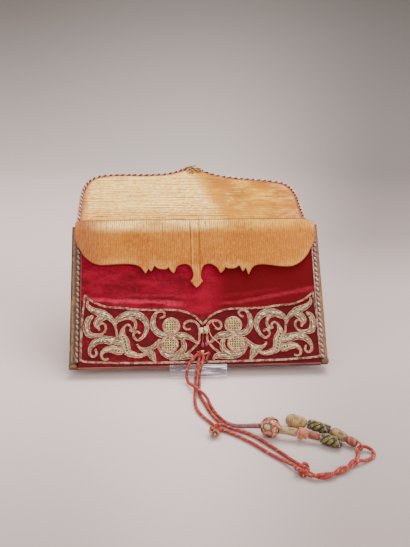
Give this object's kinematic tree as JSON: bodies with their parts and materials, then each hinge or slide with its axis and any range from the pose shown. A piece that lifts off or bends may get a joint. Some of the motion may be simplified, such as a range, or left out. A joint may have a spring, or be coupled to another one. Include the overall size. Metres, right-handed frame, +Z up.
{
  "type": "embroidered wallet pouch on a clear stand",
  "caption": "Velvet letter wallet with leather flaps and metal-thread scroll embroidery, open on a bent clear stand, its tasselled cords laid out in front.",
  "frame": {"origin": "under the middle of the stand's ledge, on the surface it stands on", "axes": "+Z up, -Y towards the viewer of the embroidered front, +X to that viewer's right, across the pouch"},
  "size_m": [0.1945, 0.2835, 0.1226],
  "materials": {
    "crimson_velvet": "worn silk velvet",
    "tan_leather": "grained, polished",
    "gusset_leather": "worn, with gilt threads",
    "silver_gilt_thread": "tarnished metal thread",
    "twisted_trim": "twisted metal and silk cord",
    "red_cord": "plied silk cord with gilt thread",
    "cream_thread": "wrapped silk",
    "plait_thread": "plaited silk",
    "clear_acrylic": "polished clear sheet"
  },
  "bodies": {
    "root": {"stand": "clear_acrylic", "back_panel": "crimson_velvet", "flap_lining": "tan_leather", "flap_edge_cord": "twisted_trim", "flap_peak_tuft": "silver_gilt_thread", "front_panel": "crimson_velvet", "gusset_left": "gusset_leather", "gusset_right": "gusset_leather", "foot_strip": "gusset_leather", "corner_cap_left": "gusset_leather", "corner_cap_right": "gusset_leather", "side_cord_left": "twisted_trim", "side_cord_right": "twisted_trim", "inner_flap": "tan_leather", "frame_braid": "silver_gilt_thread", "scrollwork_left": "silver_gilt_thread", "scrollwork_right": "silver_gilt_thread", "centre_button": "silver_gilt_thread", "button_loop": "red_cord", "cord_hitch": "red_cord", "cord_single": "red_cord", "cord_upper": "red_cord", "cord_lower": "red_cord", "cord_doubled": "red_cord", "small_knot": "red_cord", "gathering_knot": "red_cord", "ball_knot": "cream_thread", "toggle_shaft": "cream_thread", "toggle_collar": "red_cord", "toggle_grip": "red_cord", "toggle_plait": "plait_thread", "end_knob": "cream_thread", "end_plait": "plait_thread", "end_sleeve": "cream_thread", "end_whipping": "red_cord", "end_eye": "red_cord"}
  },
  "joints": []
}
